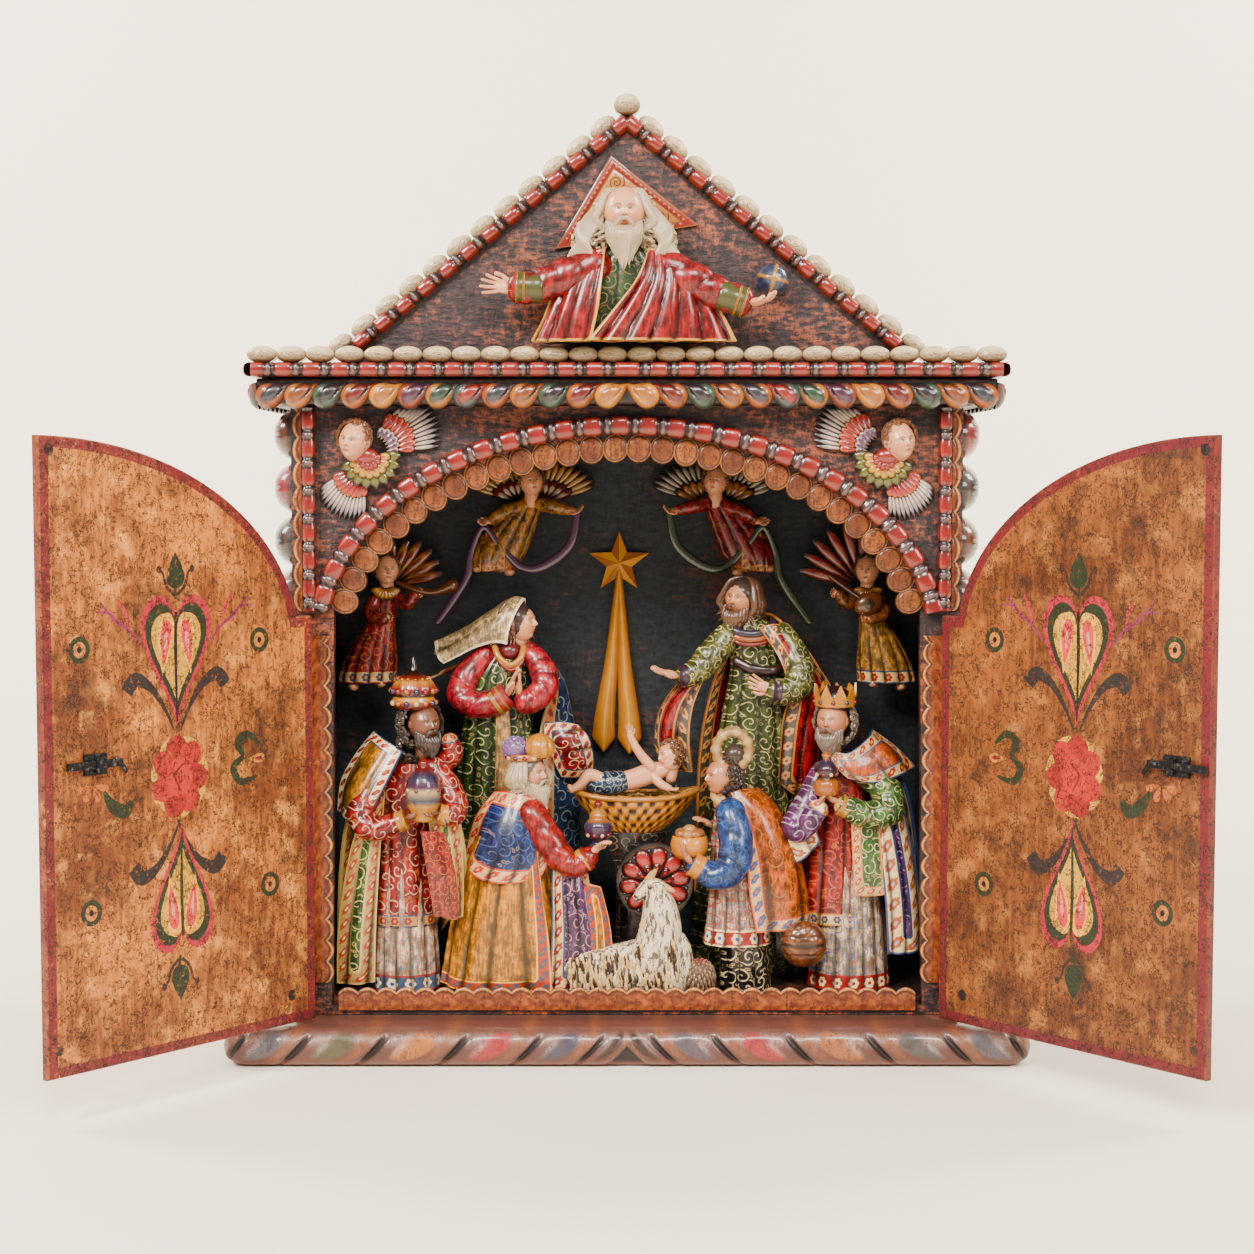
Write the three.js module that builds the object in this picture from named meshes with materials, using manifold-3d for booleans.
// Folding shrine box: a gabled wooden cabinet with two hinged, arch-topped doors, a carved base
// and carved, painted nativity figures inside.
// Units are millimetres, +Z is up and the front faces -Y. The origin is the centre of the underside.
import * as THREE from 'three';
import { ConvexGeometry } from 'three/addons/geometries/ConvexGeometry.js';
import { mergeVertices } from 'three/addons/utils/BufferGeometryUtils.js';
import Module from 'manifold-3d';

const wasm = await Module();
wasm.setup();

// Driving dimensions -------------------------------------------------------------------------
const GAP = 0.3;                     // air left between two pieces that touch
const BASE = { halfWidth: 232, front: -104, back: 92, height: 22, nose: 14 };
const CASE = { half: 193, board: 8, front: -64.3, back: 84, bottom: BASE.height + GAP, top: 376 };
const FLOOR_TOP = 31;
const ARCH = { half: 172, rise: 116, centre: 241, spring: 258, rail: 12 };
const POST = { inner: 178.3, outer: 186 };
const STRIP = { front: -66.2, back: CASE.front - GAP };
const RAIL_FRONT = -73;
const CORNICE = { half: 214, lobeTop: 391, railTop: 400, front: -90, back: 86 };
const GABLE = { half: 157, apex: 532, front: -79, back: -63, rail: 9, bead: 7.5, beads: 12 };
const HINGE = { x: 184, y: -75, radius: 3.3, pin: 1.2, leaf: 1, height: 42, heights: [233, 54] };
const DOOR = { width: 183, near: 2.2, thick: 6, offset: 2.5, bottom: 24.5, open: 131 };
const GLOBE = 10;
const CARVING_TOLERANCE = 1.7;
const FIGURE_FLOOR = FLOOR_TOP + GAP;

const PAINT = {
  darkWood: ['#3b241d', 0.6], baseWood: ['#4a302a', 0.5], tanWood: ['#b37a3c', 0.55],
  goldWood: ['#a8672c', 0.5], striped: ['#b02a35', 0.35], cream: ['#cdb27a', 0.45],
  slate: ['#1d242b', 0.75], iron: ['#23211f', 0.5, 0.8], gold: ['#d99a1e', 0.35],
  skin: ['#c07850', 0.4], red: ['#a3182a', 0.35], blue: ['#27406f', 0.35],
  green: ['#4d6b2c', 0.35], purple: ['#5b3a78', 0.35], ochre: ['#b07a18', 0.35],
  orange: ['#c4702a', 0.35], wool: ['#d8c9a4', 0.6], straw: ['#c79a2f', 0.5],
};

// Basic tools --------------------------------------------------------------------------------
const group = new THREE.Group();

// A three.js geometry as a closed solid that can be cut and joined.
function solid(geometry) {
  const bare = geometry.index ? geometry.toNonIndexed() : geometry.clone();
  bare.deleteAttribute('normal');
  bare.deleteAttribute('uv');
  const welded = mergeVertices(bare, 1e-4);
  return new wasm.Manifold(new wasm.Mesh({
    numProp: 3,
    vertProperties: new Float32Array(welded.attributes.position.array),
    triVerts: new Uint32Array(welded.index.array),
  }));
}

const join = (parts) => parts.reduce((whole, next) => whole.add(next));

// Adds one named piece; facets that lie almost in one plane are merged first.
function piece(name, body, paint) {
  const [colour, roughness, metalness = 0] = PAINT[paint];
  const slim = body.asOriginal().simplify(0.15);
  const mesh = slim.getMesh();
  const geometry = new THREE.BufferGeometry();
  geometry.setAttribute('position', new THREE.BufferAttribute(mesh.vertProperties, 3));
  geometry.setIndex(new THREE.BufferAttribute(mesh.triVerts, 1));
  geometry.computeVertexNormals();
  const material = new THREE.MeshStandardMaterial({ color: colour, roughness, metalness, flatShading: true });
  const node = new THREE.Mesh(geometry, material);
  node.name = name;
  group.add(node);
}

function box(x0, x1, y0, y1, z0, z1) {
  const geometry = new THREE.BoxGeometry(x1 - x0, y1 - y0, z1 - z0);
  return solid(geometry.translate((x0 + x1) / 2, (y0 + y1) / 2, (z0 + z1) / 2));
}

// A flat outline in the X-Z plane given a thickness from y0 to y1.
function plate(points, y0, y1, hole = null) {
  const shape = new THREE.Shape(points.map(([x, z]) => new THREE.Vector2(x, z)));
  if (hole) shape.holes.push(new THREE.Path(hole.map(([x, z]) => new THREE.Vector2(x, z))));
  const geometry = new THREE.ExtrudeGeometry(shape, { depth: y1 - y0, bevelEnabled: false });
  return solid(geometry.rotateX(Math.PI / 2).translate(0, y1, 0));
}

function ellipsoid([x, y, z], [a, b, c], turn = [0, 0, 0], around = 8, down = 4) {
  const geometry = new THREE.SphereGeometry(1, around, down).rotateX(Math.PI / 2).scale(a, b, c);
  const [rx, ry, rz] = turn.map((angle) => THREE.MathUtils.degToRad(angle));
  geometry.rotateX(rx).rotateY(ry).rotateZ(rz);
  return solid(geometry.translate(x, y, z));
}

const cornersOf = (geometry) => {
  geometry.deleteAttribute('uv');
  geometry.deleteAttribute('normal');
  return mergeVertices(geometry, 1e-3).attributes.position;
};
const SMALL_BALL = cornersOf(new THREE.OctahedronGeometry(1.1, 0));
const LARGE_BALL = cornersOf(new THREE.IcosahedronGeometry(1, 0));

// The smallest solid round a few balls: a limb, a fold or a tapering lump.
function limb(...balls) {
  const points = [];
  for (const [x, y, z, r] of balls) {
    const corners = r < 8 ? SMALL_BALL : LARGE_BALL;
    for (let i = 0; i < corners.count; i += 1) {
      points.push(new THREE.Vector3().fromBufferAttribute(corners, i).multiplyScalar(r)
        .add(new THREE.Vector3(x, y, z)));
    }
  }
  return solid(new ConvexGeometry(points));
}

// Limbs through a row of balls, joined end to end.
function chain(...balls) {
  return join(balls.slice(1).map((ball, i) => limb(balls[i], ball)));
}

// Facets finer than the carving tolerance are merged.
const carved = (body) => body.asOriginal().simplify(CARVING_TOLERANCE);

// Carves one solid back so that a neighbour standing against it keeps a little air on every side.
function clearOf(body, neighbour) {
  const air = 2 * GAP;
  const shifts = [[air, 0, 0], [-air, 0, 0], [0, air, 0], [0, -air, 0], [0, 0, air]];
  return shifts.reduce((whole, shift) => whole.subtract(neighbour.translate(shift)), body);
}

// Carved cloth: rings [x, y, z, halfWidth, halfDepth] from the hem up, fluted by folds.
function robe(rings, { sides = 12, folds = 6, depth = 0.1, phase = 0 } = {}) {
  const vertices = [];
  const faces = [];
  rings.forEach(([cx, cy, cz, a, b], level) => {
    const flute = depth * (1 - (0.8 * level) / (rings.length - 1));
    for (let i = 0; i < sides; i += 1) {
      const t = (2 * Math.PI * i) / sides;
      const swell = 1 + flute * Math.cos(folds * t + phase);
      vertices.push(cx + a * swell * Math.cos(t), cy + b * swell * Math.sin(t), cz);
    }
  });
  for (let level = 0; level < rings.length - 1; level += 1) {
    for (let i = 0; i < sides; i += 1) {
      const low = level * sides + i;
      const next = level * sides + ((i + 1) % sides);
      faces.push(low, next, next + sides, low, next + sides, low + sides);
    }
  }
  const top = (rings.length - 1) * sides;
  for (let i = 1; i < sides - 1; i += 1) {
    faces.push(0, i + 1, i, top, top + i, top + i + 1);
  }
  return new wasm.Manifold(new wasm.Mesh({
    numProp: 3,
    vertProperties: new Float32Array(vertices),
    triVerts: new Uint32Array(faces),
  }));
}

// A head with brow, nose and chin. Yaw 0 looks out of the front, positive yaw looks to +X.
function head([x, y, z], size, yaw = 0, nod = 0) {
  const skull = ellipsoid([0, 0, 0], [0.8, 0.95, 1.1], [0, 0, 0], 8, 4);
  const jaw = limb([0, -0.32, -0.62, 0.5], [0, -0.2, -0.3, 0.6]);
  const nose = limb([0, -0.86, 0.1, 0.1], [0, -1.02, -0.2, 0.15]);
  const neck = limb([0, 0.05, -0.6, 0.5], [0, 0.3, -1.8, 0.55]);
  return join([skull, jaw, nose, neck]).scale([size, size, size]).rotate([nod, 0, yaw]).translate([x, y, z]);
}

// Row of rounded lobes along +X from the origin: the outline of a scalloped edge, lobes to +Z.
function lobes(count, pitch, rise, root, steps = 3) {
  const points = [[0, -root]];
  for (let i = 0; i < count; i += 1) {
    for (let s = 0; s < steps; s += 1) {
      const t = (s + 0.12) / (steps - 0.76);
      points.push([(i + Math.min(t, 1)) * pitch, rise * Math.sin(Math.PI * Math.min(Math.max(t, 0), 1))]);
    }
  }
  points.push([count * pitch, -root]);
  return points;
}

const ellipseAt = (t, a, b) => [a * Math.cos(t), ARCH.centre + b * Math.sin(t)];

// Points on an arch of the given half width, springing at ARCH.spring, from right to left.
function archLine(half, steps, rise = half - ARCH.half + ARCH.rise) {
  const start = Math.asin((ARCH.spring - ARCH.centre) / rise);
  return Array.from({ length: steps + 1 }, (_, i) => {
    return ellipseAt(start + ((Math.PI - 2 * start) * i) / steps, half, rise);
  });
}

// Cabinet ------------------------------------------------------------------------------------
function basePlinth() {
  const rings = [-90, -50, -15, 20, 55, 90].map((angle) => {
    const t = THREE.MathUtils.degToRad(angle);
    return { out: BASE.nose * Math.cos(t), z: (BASE.height / 2) * (1 + Math.sin(t)) };
  });
  const layers = rings.map(({ out, z }) => {
    const half = BASE.halfWidth - BASE.nose + out;
    const front = BASE.front + BASE.nose - out;
    return [[-half, front, z], [half, front, z], [half, BASE.back, z], [-half, BASE.back, z]];
  });
  const vertices = layers.flat(2);
  const faces = [];
  for (let level = 0; level < layers.length - 1; level += 1) {
    for (let i = 0; i < 4; i += 1) {
      const low = level * 4 + i;
      const next = level * 4 + ((i + 1) % 4);
      faces.push(low, next, next + 4, low, next + 4, low + 4);
    }
  }
  const top = (layers.length - 1) * 4;
  faces.push(0, 2, 1, 0, 3, 2, top, top + 1, top + 2, top, top + 2, top + 3);
  let body = new wasm.Manifold(new wasm.Mesh({
    numProp: 3,
    vertProperties: new Float32Array(vertices),
    triVerts: new Uint32Array(faces),
  }));
  const pitch = 41.5;
  for (const side of [-1, 1]) {
    for (let i = 0; i < 5; i += 1) {
      const scoop = [side * (35 + i * pitch), BASE.front - 1, 13];
      const groove = [side * (13 + i * pitch), BASE.front, 12];
      body = body.subtract(ellipsoid(scoop, [4.5, 4, 9], [0, side * -35, 0], 6, 4));
      body = body.subtract(ellipsoid(groove, [2.2, 5, 12], [0, side * -38, 0], 6, 4));
    }
  }
  return body;
}

// Outward-leaning round gadroons in a column down each side of the case.
function sideWall(side) {
  const outer = side * CASE.half;
  const inner = side * (CASE.half - CASE.board);
  const depth = [CASE.front + CASE.board + GAP, CASE.back - CASE.board - GAP];
  const board = box(Math.min(outer, inner), Math.max(outer, inner), ...depth, CASE.bottom, CASE.top);
  const parts = [board];
  const pitch = 31;
  for (let i = 0; i < 11; i += 1) {
    parts.push(ellipsoid([outer, -30, 360 - i * pitch], [13, 25, 15], [0, 90, 0], 6, 4));
  }
  const reach = side * (CASE.half + 20);
  const room = box(Math.min(inner, reach), Math.max(inner, reach), ...depth, CASE.bottom, CASE.top);
  return join(parts).intersect(room);
}

function frontBoard() {
  const outline = [[-CASE.half, CASE.bottom], [CASE.half, CASE.bottom], [CASE.half, CASE.top],
    [-CASE.half, CASE.top]];
  const sill = FLOOR_TOP - 3;
  const opening = [[-ARCH.half, sill], ...archLine(ARCH.half - 1, 20).reverse(), [ARCH.half, sill]];
  return plate(outline, CASE.front, CASE.front + CASE.board, opening);
}

// A striped rail: short blocks with a notch at every joint.
function railBlocks(outer, inner, y0, y1) {
  return plate([...outer, ...inner.reverse()], y0, y1);
}

function notched(line, count, depth, outward) {
  const points = [];
  for (let i = 0; i < count; i += 1) {
    for (const [t, dip] of [[0, depth], [0.14, 0], [0.86, 0]]) {
      points.push(line((i + t) / count, outward * -dip));
    }
  }
  points.push(line(1, outward * -depth));
  return points;
}

function archRail() {
  const start = Math.asin((ARCH.spring - ARCH.centre) / ARCH.rise);
  const edge = (base) => (t, shift) => {
    const angle = start + (Math.PI - 2 * start) * t;
    return ellipseAt(angle, ARCH.half + base + shift, ARCH.rise + base + shift);
  };
  const outer = notched(edge(ARCH.rail + 1.5), 22, 1.2, 1);
  const inner = archLine(ARCH.half + 2, 20, ARCH.rise + 2);
  const whole = railBlocks(outer, inner, RAIL_FRONT, STRIP.back);
  return whole.subtract(box(POST.inner - GAP, 220, -90, -50, 200, 400))
    .subtract(box(-220, -POST.inner + GAP, -90, -50, 200, 400));
}

function archScallops() {
  const count = 26;
  const start = Math.asin((ARCH.spring - ARCH.centre) / (ARCH.rise - 5));
  const points = [];
  for (let i = 0; i < count; i += 1) {
    for (const [t, hang] of [[0, 0], [0.3, 4.6], [0.7, 4.6]]) {
      const angle = start + ((Math.PI - 2 * start) * (i + t)) / count;
      points.push(ellipseAt(angle, ARCH.half - 5 - hang, ARCH.rise - 5 - hang));
    }
  }
  points.push(ellipseAt(Math.PI - start, ARCH.half - 5, ARCH.rise - 5));
  return plate([...archLine(ARCH.half + 1, 20, ARCH.rise + 1), ...points.reverse()], STRIP.front, STRIP.back);
}

function postRail(side) {
  const line = (x) => (t, shift) => [x + shift, ARCH.spring + t * (CASE.top - 1 - ARCH.spring)];
  const outer = notched(line(POST.outer), 7, 1, 1);
  const inner = notched(line(POST.inner), 7, 1, -1);
  const rail = plate([...outer, ...inner.reverse()], RAIL_FRONT, STRIP.back);
  return side > 0 ? rail : rail.mirror([1, 0, 0]);
}

function edgeScallops(side) {
  const points = lobes(8, (CASE.top - 1 - ARCH.spring) / 8, 5, 0.6)
    .map(([along, out]) => [POST.outer + 1.2 + out, ARCH.spring + along]);
  const strip = plate(points, STRIP.front, STRIP.back);
  return side > 0 ? strip : strip.mirror([1, 0, 0]);
}

function jambStrip(side) {
  const height = ARCH.spring - 14 - 41;
  const points = lobes(14, height / 14, 5.5, 7)
    .map(([along, out]) => [-(181.5 - 6.5 - out), 41 + along]);
  const strip = plate(points, STRIP.front, STRIP.back);
  return side < 0 ? strip : strip.mirror([1, 0, 0]);
}

function sillStrip() {
  const half = 168;
  const points = lobes(22, (2 * half) / 22, 3, 11).map(([along, up]) => [along - half, 36 + up]);
  return plate(points, STRIP.front, STRIP.back);
}

function corniceGadroons() {
  const { half, front, back, lobeTop } = CORNICE;
  const board = box(-half, half, front + 6, back, CASE.top + 8, lobeTop);
  const neck = box(-CASE.half - 4, CASE.half + 4, CASE.front - 4, CORNICE.back, CASE.top + GAP, CASE.top + 9);
  const count = 26;
  const pitch = (2 * CORNICE.half) / count;
  const outline = lobes(count, pitch, 7, 7).map(([along, down]) => {
    return [along - CORNICE.half, CASE.top + 7.5 - down];
  });
  const apron = plate(outline, CORNICE.front, CORNICE.front + 9);
  return join([board, neck, apron]);
}

function corniceRail() {
  const half = CORNICE.half + 2;
  const front = notched((t, shift) => [-half + 2 * half * t, CORNICE.front - 4 - shift], 26, 1.2, 1);
  const outline = [...front, [half, CORNICE.back], [-half, CORNICE.back]];
  const shape = new THREE.Shape(outline.map(([x, y]) => new THREE.Vector2(x, y)));
  const depth = CORNICE.railTop - CORNICE.lobeTop - GAP;
  const geometry = new THREE.ExtrudeGeometry(shape, { depth, bevelEnabled: false });
  return solid(geometry.translate(0, 0, CORNICE.lobeTop + GAP));
}

function corniceBeading() {
  const half = CORNICE.half;
  const points = lobes(26, (2 * half) / 26, 8, 0.6).map(([along, up]) => [along - half, up]);
  const bottom = CORNICE.railTop + GAP + 0.6;
  const lifted = points.map(([x, up]) => [x, bottom + up]);
  return plate(lifted, CORNICE.front - 3, GABLE.front - 4 - GAP);
}

function gableBoard() {
  const foot = CORNICE.railTop + GAP;
  const drop = 3;
  const outline = [[-GABLE.half + drop, foot], [GABLE.half - drop, foot], [0, GABLE.apex - drop]];
  return plate(outline, GABLE.front + 4, GABLE.back);
}

// Follows both slopes of the gable: t runs 0..1 from the left foot over the apex to the right foot.
function gableLine(lift) {
  const foot = CORNICE.railTop + GAP;
  const slope = Math.atan2(GABLE.apex - foot, GABLE.half);
  return (t, shift) => {
    const side = t < 0.5 ? -1 : 1;
    const along = Math.abs(2 * t - 1);
    const out = lift + shift;
    const apexLift = out / Math.cos(slope);
    return [side * along * (GABLE.half + out / Math.sin(slope)),
      foot + (1 - along) * (GABLE.apex - foot + apexLift)];
  };
}

function gableRail() {
  const outer = notched(gableLine(GABLE.rail), 24, 1.2, 1);
  const inner = [gableLine(0)(0, 0), gableLine(0)(0.5, 0), gableLine(0)(1, 0)];
  return railBlocks(outer, inner, GABLE.front - 4, GABLE.back);
}

function gableBeading() {
  const count = 2 * GABLE.beads + 1;
  const base = gableLine(GABLE.rail + GAP);
  const points = [];
  for (let i = 0; i < count; i += 1) {
    for (const [t, out] of [[0, 1], [0.25, 0.95 * GABLE.bead], [0.75, 0.95 * GABLE.bead]]) {
      const along = (i + t) / count;
      points.push(gableLine(GABLE.rail + GAP + out)(along, 0));
    }
  }
  points.push(gableLine(GABLE.rail + GAP + 1)(1, 0));
  const under = [base(0, 0), base(0.5, 0), base(1, 0)];
  const strip = plate([...points, ...under.reverse()], GABLE.front - 2, GABLE.back - 3);
  return strip.intersect(box(-230, 230, -120, 0, CORNICE.railTop + GABLE.bead + 3, 600));
}

// Doors and hinges ---------------------------------------------------------------------------
// Door parts are drawn closed, measured from the hinge axis, then swung open about it.
function swing(body, side) {
  const open = body.rotate([0, 0, -DOOR.open]).translate([-HINGE.x, HINGE.y, 0]);
  return side < 0 ? open : open.mirror([1, 0, 0]);
}

function doorPanel(side) {
  const steps = 14;
  const fit = { half: ARCH.half, rise: ARCH.rise - 0.5 };
  const spring = ARCH.spring - 1.5;
  const start = Math.asin((spring - ARCH.centre) / fit.rise);
  const outline = [[DOOR.near, DOOR.bottom], [DOOR.width, DOOR.bottom]];
  for (let i = 0; i <= steps; i += 1) {
    const t = Math.PI / 2 - ((Math.PI / 2 - start) * i) / steps;
    const [across, z] = ellipseAt(t, fit.half, fit.rise);
    outline.push([Math.min(HINGE.x - across, DOOR.width), z]);
  }
  outline.push([DOOR.near, spring]);
  const rounded = outline.filter(([u], i) => i === 0 || Math.abs(u - outline[i - 1][0]) > 1e-3 || i < 3);
  return swing(plate(rounded, DOOR.offset, DOOR.offset + DOOR.thick), side);
}

function knuckle(z0, z1, radius, sides = 6) {
  const geometry = new THREE.CylinderGeometry(radius, radius, z1 - z0, sides).rotateX(Math.PI / 2);
  return solid(geometry.translate(0, 0, (z0 + z1) / 2));
}

// Knuckles of the cabinet leaf take both ends of the pin, and the door leaf turns between them.
function caseLeaf(side, middle) {
  const low = middle - HINGE.height / 2;
  const third = HINGE.height / 3;
  const pin = knuckle(low, low + HINGE.height, HINGE.pin, 5);
  const rings = [0, 2].map((k) => knuckle(low + k * third, low + (k + 1) * third, HINGE.radius));
  const reach = CASE.front - GAP - HINGE.y;
  const webs = [0, 2].map((k) => {
    return box(-HINGE.radius, -HINGE.radius + 1.6, 0, reach, low + k * third, low + (k + 1) * third);
  });
  const leaf = box(-8, -HINGE.radius + 1.6, reach - HINGE.leaf, reach, low, low + HINGE.height);
  const whole = join([pin, ...rings, ...webs, leaf]).translate([-HINGE.x, HINGE.y, 0]);
  return side < 0 ? whole : whole.mirror([1, 0, 0]);
}

function doorLeaf(side, middle) {
  const low = middle - HINGE.height / 2;
  const third = HINGE.height / 3;
  const ring = knuckle(low + third + GAP, low + 2 * third - GAP, HINGE.radius);
  const plateBack = DOOR.offset - GAP;
  const lug = box(0, 8, plateBack - HINGE.leaf, plateBack, low + third + GAP, low + 2 * third - GAP);
  const leaf = box(HINGE.radius + 0.6, 16, plateBack - HINGE.leaf, plateBack, low, low + HINGE.height);
  const bore = knuckle(low, low + HINGE.height, HINGE.pin + 0.5, 5);
  return swing(join([ring, lug, leaf]).subtract(bore), side);
}

// A forged bar on the inner face of each door, held by a raised keeper.
function latch(side) {
  const face = DOOR.offset + DOOR.thick + GAP;
  const start = side < 0 ? 136 : 146;
  const end = side < 0 ? 170 : 182;
  const z = 186;
  const bar = box(start, end, face + 1.2, face + 3, z - 2, z + 2);
  const plateBar = box(start + 9, end - 11, face, face + 1.4, z - 5.5, z + 5.5);
  const keeper = box(start + 13, start + 17, face, face + 4.2, z - 4, z + 4);
  const knob = limb([start + 3, face + 2.6, z + 1, 2.2], [start - 2, face + 2.4, z - 5, 1.6]);
  return swing(join([bar, plateBar, keeper, knob]), side);
}

// Figures ------------------------------------------------------------------------------------
function godTheFather() {
  const y = GABLE.front;
  const bust = robe([[4, y, 410, 54, 9], [3, y, 425, 44, 11], [1, y, 444, 34, 11], [0, y, 458, 15, 8]],
    { sides: 14, folds: 7, depth: 0.07 });
  const armLeft = chain([-28, y, 437, 9], [-48, y - 2, 440, 9], [-60, y - 3, 441, 7]);
  const handLeft = limb([-62, y - 4, 441, 4], [-80, y - 4, 444, 1.8], [-72, y - 4, 437, 2.4]);
  const armRight = chain([30, y, 437, 10], [52, y - 2, 439, 9], [71, y - 3, 437, 7]);
  const handRight = limb([74, y - 2, 432, 4], [84, y - 3, 431, 3]);
  const face = head([-1, y - 10, 482], 13.5, 4);
  const hair = [[-17, y - 4, 466, 7], [-10, y - 3, 486, 9], [11, y - 3, 486, 9], [20, y - 4, 466, 7]];
  const beard = limb([-7, y - 17, 472, 5], [6, y - 17, 472, 5], [0, y - 14, 452, 6]);
  const locks = [limb(hair[0], hair[1]), limb(hair[2], hair[3])];
  const cut = box(-150, 150, y - 40, y + 4 - GAP, CORNICE.railTop + 9, 600);
  return join([bust, armLeft, handLeft, armRight, handRight, face, beard, ...locks]).intersect(cut);
}

function haloTriangle(grow = 0) {
  const y = GABLE.front + 4 - GAP;
  const corners = [[-41 - 2 * grow, 463 - grow], [41 + 2 * grow, 477 - grow], [-9, 516 + 2 * grow]];
  return plate(corners, y - 3 - grow, y + grow);
}

function globe(radius) {
  return ellipsoid([82, GABLE.front - 6.5, 446], [radius, radius, radius], [0, 0, 0], 10, 7);
}

function cherub(side) {
  const back = CASE.front - GAP;
  const face = head([-154, back - 8, 355], 10, 12, 0);
  const hair = ellipsoid([-156, back - 3, 359], [11, 4, 11], [0, 0, 0], 8, 4);
  const bib = limb([-148, back - 3, 346, 6], [-139, back - 3, 337, 9]);
  const upper = plate([[-146, 350], [-136, 377], [-106, 377], [-104, 362], [-112, 350], [-130, 342]],
    back - 3, back);
  const lower = plate([[-150, 346], [-177, 322], [-175, 310], [-148, 307], [-144, 318], [-136, 334]],
    back - 3, back);
  const whole = join([face, hair, bib, upper, lower]).intersect(box(-177.8, 0, -100, back, 280, 376));
  const rail = ARCH.half + ARCH.rail + 3;
  const clear = carved(whole).subtract(plate(archLine(rail, 20), -120, 0));
  return side < 0 ? clear : clear.mirror([1, 0, 0]);
}

function star() {
  const y = CASE.back - CASE.board - GAP;
  const rays = 10;
  const outline = Array.from({ length: rays }, (_, i) => {
    const reach = i % 2 ? 9 : 21;
    const t = Math.PI / 2 + (Math.PI * i) / 5;
    return [-5 + reach * Math.cos(t), 281 + reach * Math.sin(t)];
  });
  const tail = [[-5, 279], [9, 196], [10, 172], [2, 157], [-6, 176], [-15, 157], [-22, 172], [-19, 196]];
  const flat = join([plate(outline, y - 4, y), plate(tail, y - 3, y)]);
  const crown = limb([-5, y - 6, 281, 3], [-5, y - 1, 281, 8]);
  return flat.add(crown).intersect(box(-60, 60, y - 10, y, 100, 320));
}

const wall = CASE.back - CASE.board - GAP;

// A wing as a thin fan whose edge is cut into feather tips.
function wing(x, z, side, spread, feathers = 4) {
  const outline = [[x, z - 8]];
  for (let k = 0; k < feathers; k += 1) {
    for (const [t, reach] of [[0.05, 0.84], [0.5, 1]]) {
      const angle = THREE.MathUtils.degToRad(-5 + (85 * (k + t)) / feathers);
      const far = spread * reach;
      outline.push([x + side * far * Math.cos(angle), z + 0.85 * far * Math.sin(angle)]);
    }
  }
  return plate(side > 0 ? outline : outline.reverse(), wall - 6, wall - 2);
}

// A ribbon carved as a flat band that waves in the plane of the back panel.
function ribbon(points) {
  const width = 2.1;
  const sides = [1, -1].map((hand) => points.map(([x, z], i) => {
    const [ax, az] = points[Math.max(i - 1, 0)];
    const [bx, bz] = points[Math.min(i + 1, points.length - 1)];
    const length = Math.hypot(bx - ax, bz - az);
    return [x - (hand * width * (bz - az)) / length, z + (hand * width * (bx - ax)) / length];
  }));
  return plate([...sides[0], ...sides[1].reverse()], wall - 25, wall - 20);
}

function ribbonAngel(side) {
  const x = side < 0 ? -74 : 68;
  const y = wall - 16;
  const body = robe([[x, y, 276, 21, 12], [x, y, 296, 23, 12], [x + 3, y, 314, 16, 11],
    [x + side * -4, y, 326, 9, 8]]);
  const face = head([x + side * -12, y - 4, 334], 9, side * -15);
  const hair = ellipsoid([x + side * -11, y + 1, 337], [9, 9, 9], [0, 0, 0], 7, 4);
  const near = chain([x - side * 8, y - 4, 320, 5], [x - side * 28, y - 4, 312, 4],
    [x - side * 42, y - 6, 312, 3]);
  const far = chain([x + side * 6, y - 4, 320, 5], [x + side * 14, y - 6, 308, 3]);
  const feet = [limb([x - 8, y, 278, 4], [x - 2, y - 4, 268, 3]), limb([x + side * 14, y, 280, 4],
    [x + side * 22, y - 2, 268, 3])];
  const route = side < 0
    ? [[-32, 314], [-36, 293], [-49, 279], [-61, 276], [-73, 282], [-84, 298], [-91, 303], [-98, 292],
      [-102, 270], [-108, 256], [-119, 243]]
    : [[28, 308], [30, 290], [38, 278], [49, 275], [60, 281], [72, 296], [82, 302], [92, 296],
      [101, 280], [114, 262], [132, 253]];
  const fixing = box(x - 5, x + 5, y, wall, 290, 322);
  return join([body, face, hair, near, far, ...feet, ribbon(route),
    wing(x, 322, -1, 44), wing(x, 322, 1, 44), fixing])
    .intersect(box(-200, 200, 0, wall, 200, 360));
}

function musicAngel(side) {
  const x = side * 160;
  const y = 44;
  const body = robe([[x, y, 210, 20, 15], [x, y, 228, 19, 14], [x - side * 3, y, 246, 14, 12],
    [x - side * 4, y, 264, 9, 8]]);
  const face = head([x - side * 9, y - 4, 276], 9, -side * 40);
  const hair = limb([x - side * 7, y, 279, 9], [x + side * 8, y + 2, 292, 3]);
  const arm = chain([x - side * 5, y - 8, 258, 5], [x - side * 16, y - 12, 250, 4],
    [x - side * 24, y - 14, 258, 3]);
  const horn = limb([x - side * 12, y - 13, 259, 3], [x - side * 44, y - 14, 266, 2.2]);
  const feet = [limb([x - side * 10, y, 214, 4], [x - side * 6, y - 4, 203, 3]),
    limb([x + side * 6, y, 214, 4], [x + side * 10, y - 2, 202, 3])];
  const fixing = box(x - 4, x + 4, y, wall, 240, 272);
  return join([body, face, hair, arm, horn, ...feet, wing(x, 266, -side, 40, 4), fixing])
    .intersect(box(-184.4, 184.4, -20, wall, 190, 340));
}

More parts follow.
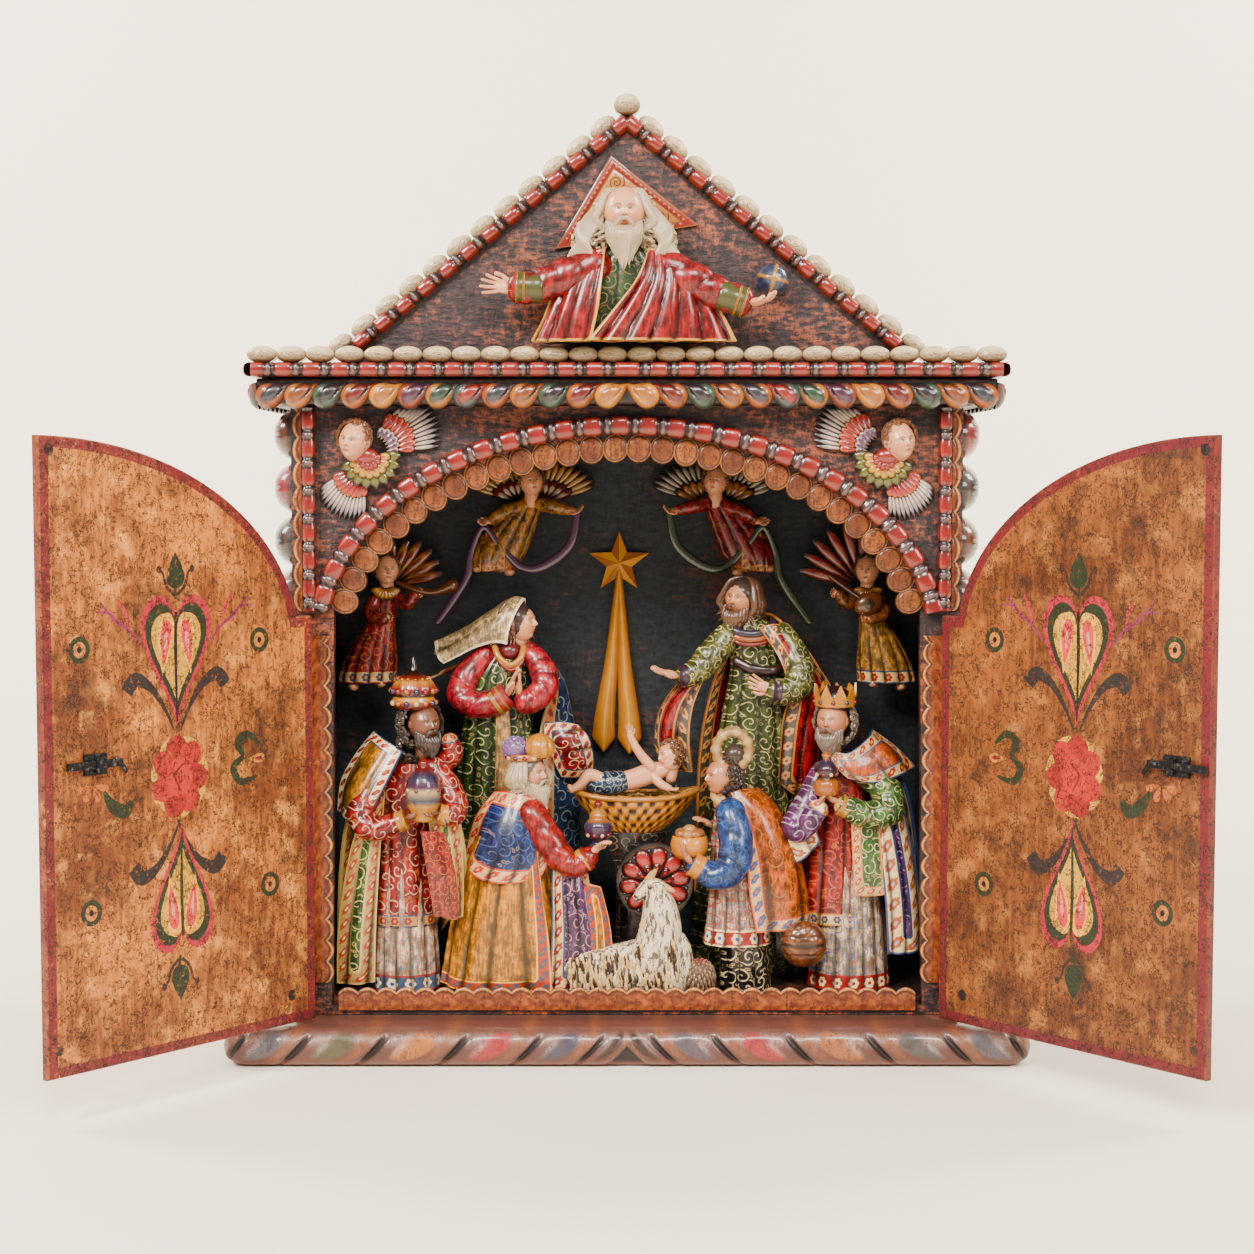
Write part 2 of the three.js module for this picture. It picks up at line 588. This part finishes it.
function mary() {
  const skirt = robe([[-72, 2, FIGURE_FLOOR, 30, 22], [-74, 2, 90, 28, 20], [-80, 2, 140, 25, 18],
    [-82, 2, 185, 20, 14], [-74, 2, 214, 19, 12], [-68, 2, 228, 9, 9]]);
  const cloak = robe([[-52, 12, 60, 30, 20], [-56, 12, 110, 32, 20], [-70, 14, 160, 36, 16],
    [-80, 12, 200, 36, 12], [-70, 10, 232, 12, 9]], { phase: 1 });
  const face = head([-67, -5, 245], 11.5, 40, 8);
  const veil = limb([-66, 0, 250, 11], [-78, 6, 244, 8], [-118, 8, 226, 3]);
  const arms = [chain([-84, -8, 214, 9], [-100, -12, 202, 7], [-74, -18, 203, 6]),
    chain([-56, -6, 218, 9], [-50, -12, 200, 8], [-66, -20, 207, 5])];
  const hands = limb([-68, -22, 206, 3.4], [-64, -23, 218, 2]);
  return join([skirt, cloak, face, veil, ...arms, hands]).translate([0, 15, 0]);
}

function joseph() {
  const body = robe([[80, 6, FIGURE_FLOOR, 30, 22], [80, 6, 90, 28, 20], [80, 6, 150, 25, 18],
    [82, 6, 200, 22, 15], [80, 6, 232, 21, 12], [72, 6, 247, 9, 9]]);
  const cloak = robe([[92, 16, 70, 36, 18], [92, 16, 130, 38, 18], [94, 14, 190, 34, 16],
    [92, 12, 236, 22, 12], [86, 10, 250, 12, 9]], { phase: 1 });
  const face = head([66, -2, 260], 12.5, -50, 10);
  const hair = ellipsoid([72, 4, 264], [13, 12, 12], [0, 0, 0], 7, 4);
  const beard = limb([58, -8, 252, 6], [56, -7, 243, 4]);
  const reach = chain([68, 0, 232, 10], [46, -12, 222, 8], [32, -18, 218, 7]);
  const hand = limb([30, -19, 218, 4.5], [18, -22, 221, 2]);
  const bent = chain([98, -4, 230, 9], [104, -14, 212, 9], [88, -22, 206, 7]);
  const palm = limb([80, -24, 206, 4.5], [72, -25, 208, 2.5]);
  const lining = limb([66, 0, 210, 9], [28, -2, 194, 6], [24, 0, 162, 5], [58, 4, 150, 10]);
  return join([body, cloak, face, hair, beard, reach, hand, bent, palm, lining]).translate([0, 13, 0]);
}

function manger() {
  const y = -6;
  const basket = ellipsoid([5, y, 148], [41, 22, 31], [0, -4, 0], 14, 7);
  const upper = box(-60, 60, -60, 60, 140, 180);
  const hollow = ellipsoid([5, y, 152], [37, 18, 24], [0, -4, 0], 14, 6).intersect(upper);
  const foot = robe([[8, y + 4, FIGURE_FLOOR, 13, 10], [8, y + 4, 80, 12, 9], [6, y, 122, 14, 10]],
    { sides: 12, folds: 6 });
  return join([basket, foot]).subtract(hollow).intersect(box(-60, 60, -60, 60, FIGURE_FLOOR, 147));
}

function child() {
  const y = -8;
  const body = limb([-4, y, 153, 8], [14, y, 159, 8]);
  const face = head([26, y - 2, 167], 9.5, -30, 18);
  const hair = ellipsoid([30, y + 2, 169], [9, 8, 8], [0, 0, 0], 7, 4);
  const raised = chain([10, y, 163, 4], [4, y - 1, 174, 3.4], [5, y - 1, 185, 2.6]);
  const other = chain([16, y - 6, 160, 4], [4, y - 11, 157, 3]);
  const legs = [chain([-8, y - 4, 152, 6], [-19, y - 5, 156, 4.4], [-31, y - 6, 153, 3]),
    chain([-8, y + 4, 152, 6], [-20, y + 3, 153, 4.4], [-32, y + 2, 152, 3])];
  return join([body, face, hair, raised, other, ...legs]);
}

function crown([x, y, z], radius, spire) {
  const parts = [ellipsoid([x, y, z], [radius, radius, radius * 0.9], [0, 0, 0], 8, 4)];
  const brim = new THREE.CylinderGeometry(radius * 1.12, radius * 1.05, radius * 0.45, 8);
  parts.push(solid(brim.rotateX(Math.PI / 2).translate(x, y, z - radius * 0.25)));
  parts.push(limb([x, y, z + radius * 0.7, radius * 0.3], [x, y, z + spire, radius * 0.16]));
  return join(parts);
}

// A lidded gift jar: foot, bowl and domed lid turned on one axis.
function jar([x, y, z], radius, height) {
  const profile = [[0, 0], [0.55, 0], [0.4, 0.14], [0.95, 0.34], [1, 0.55], [0.6, 0.8], [0.22, 0.88],
    [0.24, 1], [0, 1.02]].map(([r, h]) => new THREE.Vector2(r * radius, h * height));
  return solid(new THREE.LatheGeometry(profile, 7).rotateX(Math.PI / 2).translate(x, y, z));
}

function kingStanding() {
  const y = -30;
  const body = robe([[-133, y, FIGURE_FLOOR, 22, 17], [-133, y, 72, 20, 16], [-135, y, 120, 18, 14],
    [-137, y, 160, 16, 13], [-137, y, 184, 10, 9]]);
  const cape = robe([[-134, y + 13, 42, 36, 13], [-132, y + 12, 96, 34, 14], [-132, y + 10, 145, 27, 15],
    [-138, y + 7, 176, 22, 13], [-138, y + 4, 192, 10, 9]], { phase: 1 });
  const face = head([-124, y - 5, 195], 12, 30, 8);
  const curls = limb([-127, y + 2, 200, 14], [-114, y - 3, 186, 9], [-130, y + 2, 186, 10]);
  const hat = crown([-135, y - 1, 206], 12, 20);
  const raised = chain([-124, y - 6, 172, 8], [-106, y - 10, 172, 7], [-110, y - 12, 186, 4]);
  const holding = chain([-146, y - 8, 170, 9], [-138, y - 14, 148, 8], [-120, y - 17, 144, 5]);
  const gift = jar([-117, y - 17, 128], 10, 41);
  return join([body, cape, face, curls, hat, raised, holding, gift]);
}

function kingKneeling() {
  const y = -32;
  const cloak = robe([[-76, y + 1, FIGURE_FLOOR, 37, 17], [-76, y + 1, 60, 31, 16], [-75, y + 1, 98, 23, 15],
    [-72, y + 1, 130, 19, 13], [-66, y, 148, 10, 9]]);
  const skirt = robe([[-32, y + 13, FIGURE_FLOOR, 22, 9],
    [-32, y + 13, 70, 20, 9], [-34, y + 10, 104, 14, 10],
    [-46, y + 4, 128, 12, 10]], { phase: 1 });
  const collar = robe([[-70, y + 1, 102, 27, 17], [-70, y + 1, 122, 24, 15], [-66, y, 146, 13, 11]],
    { phase: 2, depth: 0.05 });
  const face = head([-58, y - 6, 158], 12, 55, 6);
  const hair = limb([-60, y, 162, 12], [-66, y + 2, 150, 8]);
  const beard = limb([-50, y - 8, 150, 6], [-44, y - 8, 144, 4]);
  const ball = ellipsoid([-47, y - 2, 173], [9, 9, 8], [0, 0, 0], 7, 4);
  const plume = limb([-60, y, 168, 6], [-64, y, 179, 3]);
  const arm = chain([-52, y - 8, 132, 8], [-38, y - 12, 116, 8], [-26, y - 14, 120, 6]);
  const gift = jar([-19, y - 15, 118], 9, 32);
  return join([cloak, skirt, collar, face, hair, beard, ball, plume, arm, gift]);
}

function shepherd() {
  const y = -34;
  const body = robe([[72, y, FIGURE_FLOOR, 22, 16], [70, y, 64, 20, 15], [66, y, 98, 18, 13],
    [66, y, 130, 16, 12], [62, y, 150, 9, 8]]);
  const cloak = robe([[88, y + 8, 72, 17, 14], [84, y + 8, 104, 21, 14], [76, y + 8, 136, 17, 12],
    [68, y + 6, 154, 9, 8]], { phase: 1 });
  const face = head([55, y - 4, 157], 11, -45, 14);
  const hair = ellipsoid([58, y, 161], [12, 11, 12], [0, 0, 0], 7, 4);
  const brim = solid(new THREE.TorusGeometry(10, 3.2, 4, 10).scale(0.92, 1.2, 1)
    .rotateX(Math.PI / 2).rotateZ(0.35).translate(64, y + 5, 172));
  const arm = chain([66, y - 10, 134, 9], [64, y - 15, 104, 8], [44, y - 16, 108, 6]);
  const far = chain([54, y, 136, 7], [42, y - 8, 130, 6], [44, y - 12, 136, 4]);
  const basket = ellipsoid([38, y - 14, 122], [11, 10, 10], [0, 0, 0], 10, 6);
  const foot = limb([94, y - 2, 36, 5], [108, y - 4, 36, 4.6]);
  const neck = limb([62, y, 144, 9], [57, y - 1, 156, 9]);
  return join([body, neck, cloak, face, hair, brim, arm, far, basket, foot])
    .intersect(box(0, 200, -60, 60, FIGURE_FLOOR, 200));
}

function gourd() {
  return ellipsoid([104, -51, 61], [14, 8.5, 14], [0, 0, 0], 12, 8);
}

function kingCrowned() {
  const y = -22;
  const body = robe([[134, y, FIGURE_FLOOR, 24, 18], [134, y, 70, 22, 16], [134, y, 120, 20, 15],
    [134, y, 152, 18, 13], [132, y, 176, 10, 9]]);
  const cape = robe([[142, y + 14, 50, 34, 12], [144, y + 12, 100, 30, 14], [144, y + 8, 145, 25, 14],
    [142, y + 6, 172, 20, 12], [136, y + 4, 184, 9, 8]], { phase: 1 });
  const face = head([124, y - 5, 190], 11.5, -35, 8);
  const curls = limb([130, y, 194, 12], [120, y - 6, 182, 7], [136, y + 2, 184, 8]);
  const hat = crown([131, y - 1, 204], 12, 12);
  const arm = chain([146, y - 8, 164, 9], [144, y - 14, 142, 9], [126, y - 17, 146, 6]);
  const sleeve = limb([116, y + 2, 158, 6], [100, y + 4, 140, 8], [108, y + 4, 112, 7]);
  const gift = jar([117, y - 18, 146], 11, 31);
  return join([body, cape, face, curls, hat, arm, sleeve, gift]);
}

// Carved wool: short locks stand on the body in rows.
function llama() {
  const y = -46;
  const floor = FIGURE_FLOOR;
  const body = limb([-22, y, floor + 16, 12.5], [18, y, floor + 20, 12.5],
    [-24, y, floor + 9, 10], [20, y, floor + 9, 11]);
  const neck = chain([22, y, floor + 24, 12], [24, y, floor + 50, 7], [23, y, floor + 62, 6]);
  const muzzle = limb([20, y, floor + 62, 5], [10, y - 2, floor + 57, 3]);
  const ears = [limb([22, y, floor + 66, 2.4], [18, y, floor + 74, 1.2]), limb([26, y, floor + 64, 2.4],
    [30, y + 1, floor + 69, 1.4])];
  const locks = [];
  for (let row = 0; row < 2; row += 1) {
    for (let k = 0; k < 6; k += 1) {
      const x = -28 + k * 9.5 + row * 4;
      const z = floor + 26 - row * 9;
      locks.push(limb([x, y - 9 - row, z, 2.4], [x + 1, y - 11 - row, z - 8, 1.8]));
    }
  }
  const trim = box(-80, 80, -62, 20, floor, 200);
  return join([body, neck, muzzle, ...ears, ...locks]).intersect(trim);
}

function rosette() {
  const y = -24;
  const panel = plate(Array.from({ length: 16 }, (_, i) => {
    const t = (2 * Math.PI * i) / 16;
    return [16 + 25 * Math.cos(t), 93 + 25 * Math.sin(t)];
  }), y, y + 4);
  const petals = Array.from({ length: 10 }, (_, i) => {
    const t = (2 * Math.PI * (i + 0.5)) / 10;
    return ellipsoid([16 + 13 * Math.cos(t), y, 93 + 13 * Math.sin(t)], [8, 3.4, 4.4],
      [0, -THREE.MathUtils.radToDeg(t), 0], 6, 4);
  });
  const stem = box(10, 22, y, y + 4, FIGURE_FLOOR, 74);
  return join([panel, stem, ...petals, ellipsoid([16, y, 93], [6, 4, 6], [0, 0, 0], 8, 4)]);
}

function brownBundle() {
  const lump = ellipsoid([43, -51, FIGURE_FLOOR + 9], [9.5, 8, 13], [0, 0, 0], 8, 6);
  return lump.intersect(box(20, 60, -62, -30, FIGURE_FLOOR, 60));
}

// Assembly -----------------------------------------------------------------------------------
const INNER = CASE.half - CASE.board - GAP;
const backInner = CASE.back - CASE.board;

piece('base_plinth', carved(basePlinth()), 'baseWood');
const frontInner = CASE.front + CASE.board;
piece('floor_board', box(-INNER, INNER, frontInner + GAP, backInner - GAP, CASE.bottom, FLOOR_TOP),
  'darkWood');
piece('top_board', box(-INNER, INNER, frontInner + GAP, backInner - GAP, CASE.top - CASE.board, CASE.top),
  'darkWood');
piece('back_panel', box(-CASE.half, CASE.half, backInner, CASE.back, CASE.bottom, CASE.top), 'slate');
piece('front_board', frontBoard(), 'darkWood');
piece('arch_rail', archRail(), 'striped');
piece('arch_scallops', archScallops(), 'goldWood');
piece('sill_strip', sillStrip(), 'goldWood');
piece('cornice_gadroons', corniceGadroons(), 'darkWood');
piece('cornice_rail', corniceRail(), 'striped');
piece('cornice_beading', corniceBeading(), 'cream');
piece('gable_board', gableBoard(), 'darkWood');
piece('gable_rail', gableRail(), 'striped');
piece('gable_beading', gableBeading(), 'cream');
piece('halo_triangle', haloTriangle(), 'gold');
const father = carved(godTheFather()).subtract(haloTriangle(GAP)).subtract(globe(GLOBE + GAP));
piece('god_the_father', father, 'red');
piece('globe', globe(GLOBE), 'blue');
piece('star', carved(star()), 'gold');

for (const side of [-1, 1]) {
  const hand = side < 0 ? 'left' : 'right';
  piece(`side_wall_${hand}`, sideWall(side), 'darkWood');
  piece(`post_rail_${hand}`, postRail(side), 'striped');
  piece(`edge_scallops_${hand}`, edgeScallops(side), 'goldWood');
  piece(`jamb_strip_${hand}`, jambStrip(side), 'goldWood');
  piece(`cherub_${hand}`, cherub(side), 'skin');
  piece(`ribbon_angel_${hand}`, carved(ribbonAngel(side)), side < 0 ? 'ochre' : 'red');
  piece(`music_angel_${hand}`, carved(musicAngel(side)), side < 0 ? 'red' : 'ochre');
  piece(`door_${hand}_panel`, doorPanel(side), 'tanWood');
  piece(`door_${hand}_latch`, latch(side), 'iron');
  HINGE.heights.forEach((middle, i) => {
    const where = i === 0 ? 'upper' : 'lower';
    piece(`hinge_${hand}_${where}_case_leaf`, caseLeaf(side, middle), 'iron');
    piece(`hinge_${hand}_${where}_door_leaf`, doorLeaf(side, middle), 'iron');
  });
}

piece('mary', carved(mary()), 'blue');
piece('joseph', carved(joseph()), 'green');
piece('child', carved(child()), 'skin');
piece('manger', carved(manger()), 'straw');
piece('king_standing', clearOf(carved(kingStanding()), carved(kingKneeling())), 'red');
piece('king_kneeling', carved(kingKneeling()), 'ochre');
piece('king_crowned', carved(kingCrowned()), 'purple');
piece('shepherd', carved(shepherd()), 'orange');
piece('gourd', gourd(), 'goldWood');
piece('llama', carved(llama()), 'wool');
piece('rosette_panel', carved(rosette()), 'red');
piece('brown_bundle', carved(brownBundle()), 'goldWood');

export default group;
